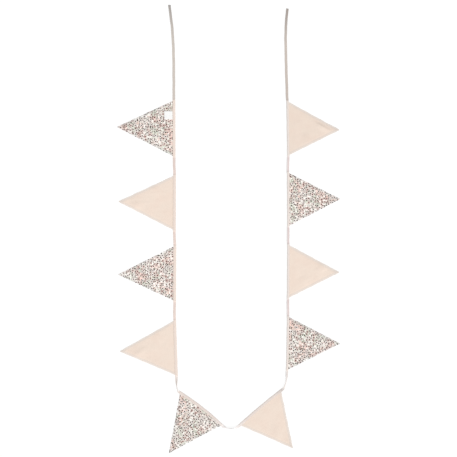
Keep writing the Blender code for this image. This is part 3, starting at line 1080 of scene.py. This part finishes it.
def pennant_rows(pennant):
    """Drops below the tape's centreline, closer together at the top edge and the tip."""
    top = (-TOP_EDGE, -2.1, -1.9, -1.6, -1.0, 0.5, 2.5, 4.2, 5.6, 7.2, 9.0)
    tip = (3.4, 2.2, 1.4, 0.85, 0.45, 0.2, 0.06, 0.0)
    body = np.linspace(11.0, pennant.depth - 4.8, 92)
    return np.concatenate((top, body, pennant.depth - np.array(tip)))


def half_width(pennant, down):
    """Half the pennant's width: a straight taper that ends in a round blunt tip."""
    straight = (pennant.base + (TIP_WIDTH - pennant.base) * down / pennant.depth) / 2
    into_tip = np.clip((down - pennant.depth + TIP_ROUND) / TIP_ROUND, 0.0, 1.0)
    return straight * np.sqrt(np.maximum(0.02, 1.0 - into_tip**2))


def pennant_columns(half):
    """Places across, from side to side: the rim's own spacing, then even steps."""
    fit = np.minimum(1.0, 0.8 * half / RIM[-1])
    left = -half + RIM * fit
    inner = half - RIM[-1] * fit
    middle = inner * np.linspace(-1.0, 1.0, INNER_COLUMNS)[1:-1]
    return np.hstack((left, middle, -left[:, ::-1]))


def rim_round(distance):
    """A quarter circle of half a millimetre: 0 at the rim and 1 further in."""
    near = 1.0 - np.clip(distance / 0.5, 0.0, 1.0)
    return np.sqrt(1.0 - near**2)


def cloth_faces(pennant, along, down, middle, half):
    """Front and back points, from places along and down the pennant and their heights."""
    run, drop = compass(pennant.heading), compass(pennant.heading - 90.0)
    flat = np.array((pennant.x, pennant.y)) + LAYOUT_SHIFT
    flat = flat + along[..., None] * run + down[..., None] * drop
    return np.dstack((flat, middle + half)), np.dstack((flat, middle - half))


def pennant_surface(pennant, seed):
    """Front and back points in mm, the distance from the seams, and the flat cloth place."""
    down = pennant_rows(pennant)[:, None]
    half = half_width(pennant, down)
    along = pennant_columns(half)
    slope = math.atan((pennant.base - TIP_WIDTH) / 2 / pennant.depth)
    from_side = (half - np.abs(along)) * math.cos(slope)
    from_end = np.minimum(down + TOP_EDGE, pennant.depth - down)
    middle, thick = cloth_shape(pennant, seed, along, down, from_side)
    thick = thick * rim_round(np.minimum(from_side, from_end))
    sway = 0.3 * np.sin(down / 7.5 + seed) + 0.22 * np.sin(down / 4.1 + 2 * seed)
    sway = sway * smooth(down / 12.0) * smooth((pennant.depth - down) / 12.0)
    drawn = along + sway * np.sign(along) * smooth(1.0 - from_side / 14.0)
    shifted = drawn + pennant.skew * np.maximum(0.0, down) / pennant.depth
    fade = 1.0 - np.maximum(0.0, down) / pennant.depth
    lowered = down + fade * droop(pennant, shifted)
    front, back = cloth_faces(pennant, shifted, lowered, middle, thick)
    cloth = np.dstack(np.broadcast_arrays(shifted, down))
    return front, back, from_side, cloth

# %% Close front and back into one cloth
def close_cloth(name, front, back, cloth, offsets, material, traits=None):
    """Two grids that share their rim: quads of the front, and of the back turned over."""
    rows, columns = front.shape[:2]
    upper = np.arange(rows * columns).reshape(rows, columns)
    lower = upper.copy()
    inner = (rows - 2) * (columns - 2)
    lower[1:-1, 1:-1] = rows * columns + np.arange(inner).reshape(rows - 2, columns - 2)
    rim = (front + back) / 2
    joined = front.copy()
    joined[[0, -1]] = rim[[0, -1]]
    joined[:, [0, -1]] = rim[:, [0, -1]]
    points = np.vstack((joined.reshape(-1, 3), back[1:-1, 1:-1].reshape(-1, 3)))

    def quads(grid):
        corners = (grid[:-1, :-1], grid[1:, :-1], grid[1:, 1:], grid[:-1, 1:])
        return np.stack(corners, axis=-1).reshape(-1, 4)

    flat_places = cloth.reshape(-1, 2)
    front_faces = quads(upper)
    back_faces = front_faces[:, ::-1]
    corner_places = (flat_places[faces].reshape(-1, 2) for faces in (front_faces, back_faces))
    uv = np.vstack([places + offset for places, offset in zip(corner_places, offsets)])
    faces = front_faces.tolist() + quads(lower)[:, ::-1].tolist()
    grown = {
        trait: np.concatenate((values.ravel(), values[1:-1, 1:-1].ravel()))
        for trait, values in (traits or {}).items()
    }
    return make_piece(name, points, faces, uv, material, grown)

# %% Make the ten pennants
# Some pennants come from slightly deeper or paler dye lots.
DYE_LOTS = {1: 1.02, 3: 1.055, 9: 1.02, 10: 0.965}
TIP_SHADE = 24.0

for number, pennant in enumerate(PENNANTS):
    printed = number % 2 == 0
    finish = print_cotton if printed else plain_cotton
    front, back, from_side, cloth = pennant_surface(pennant, number + 3)
    offsets = np.random.default_rng(70 + number).uniform(100, 1500, (2, 2))
    kind = "printed" if printed else "plain"
    name = f"{kind}_{pennant.name}"
    near_tip = smooth(1.0 - (pennant.depth - cloth[..., 1]) / TIP_SHADE)
    lots = np.full(from_side.shape, DYE_LOTS.get(number + 1, 1.0))
    traits = {"from_seam": from_side, "near_tip": near_tip, "dye_lot": lots}
    piece = close_cloth(name, front, back, cloth, offsets, finish, traits)
    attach(piece, "root")
    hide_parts(pennant.name)
    compare_with_cad(piece, pennant.name)

# %% [markdown]
# ## The label
#
# A small white label of woven satin hangs from the tape's seam onto the first pennant. It is
# a strip folded double, so its lower edge is a soft fold and its top is caught in the tape.
# The same height formula as the pennant's puts it on that cloth, and it lifts a little
# towards its lower edge, as a stiff new label does.

# %% Make the label
def edged(length, count):
    """Places from 0 to length: close together at both ends, even between."""
    near = np.array((0.0, 0.06, 0.16, 0.3, 0.6, 1.2))
    middle = np.linspace(2.4, length - 2.4, count)
    return np.concatenate((near, middle, (length - near)[::-1]))


def label_surface():
    """A thin folded sheet over the first pennant: cloth top + clearance + its own half."""
    pennant = PENNANTS[0]
    across = edged(LABEL_WIDTH, 26) - LABEL_WIDTH / 2
    span = LABEL_TO - LABEL_FROM
    rows = edged(span, 30)
    down = (rows + LABEL_FROM)[:, None]
    along = across[None] + LABEL_ALONG
    lower, half = cloth_shape(pennant, 3, along, down, np.full(along.shape, 40.0))
    thick = 0.1 + 0.16 * smooth((down - 5.0) / 6.0)
    to_edge = np.minimum(LABEL_WIDTH / 2 - np.abs(across)[None], rows[:, None])
    to_edge = np.minimum(to_edge, span - rows[:, None])
    lift = 0.5 * smooth((down - 12.0) / 20.0) + 0.04
    corner = 0.7 * smooth((across[None] - 4.0) / 9.5) * smooth((down - 20.0) / 11.0)
    middle_height = lower + half + thick + lift + corner
    thick = thick * rim_round(to_edge * 1.4)
    bent = across[None] + 0.15 * np.sin(down / 5.0)
    front, back = cloth_faces(pennant, bent + LABEL_ALONG, down, middle_height, thick)
    return front, back, np.dstack(np.broadcast_arrays(bent, down))


label_satin = make_label_satin()
label_front, label_back, label_cloth = label_surface()
label = close_cloth(
    "folded_label", label_front, label_back, label_cloth, np.zeros((2, 2)), label_satin
)
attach(label, "root")
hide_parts("sewn_label")
compare_with_cad(label, "sewn_label")
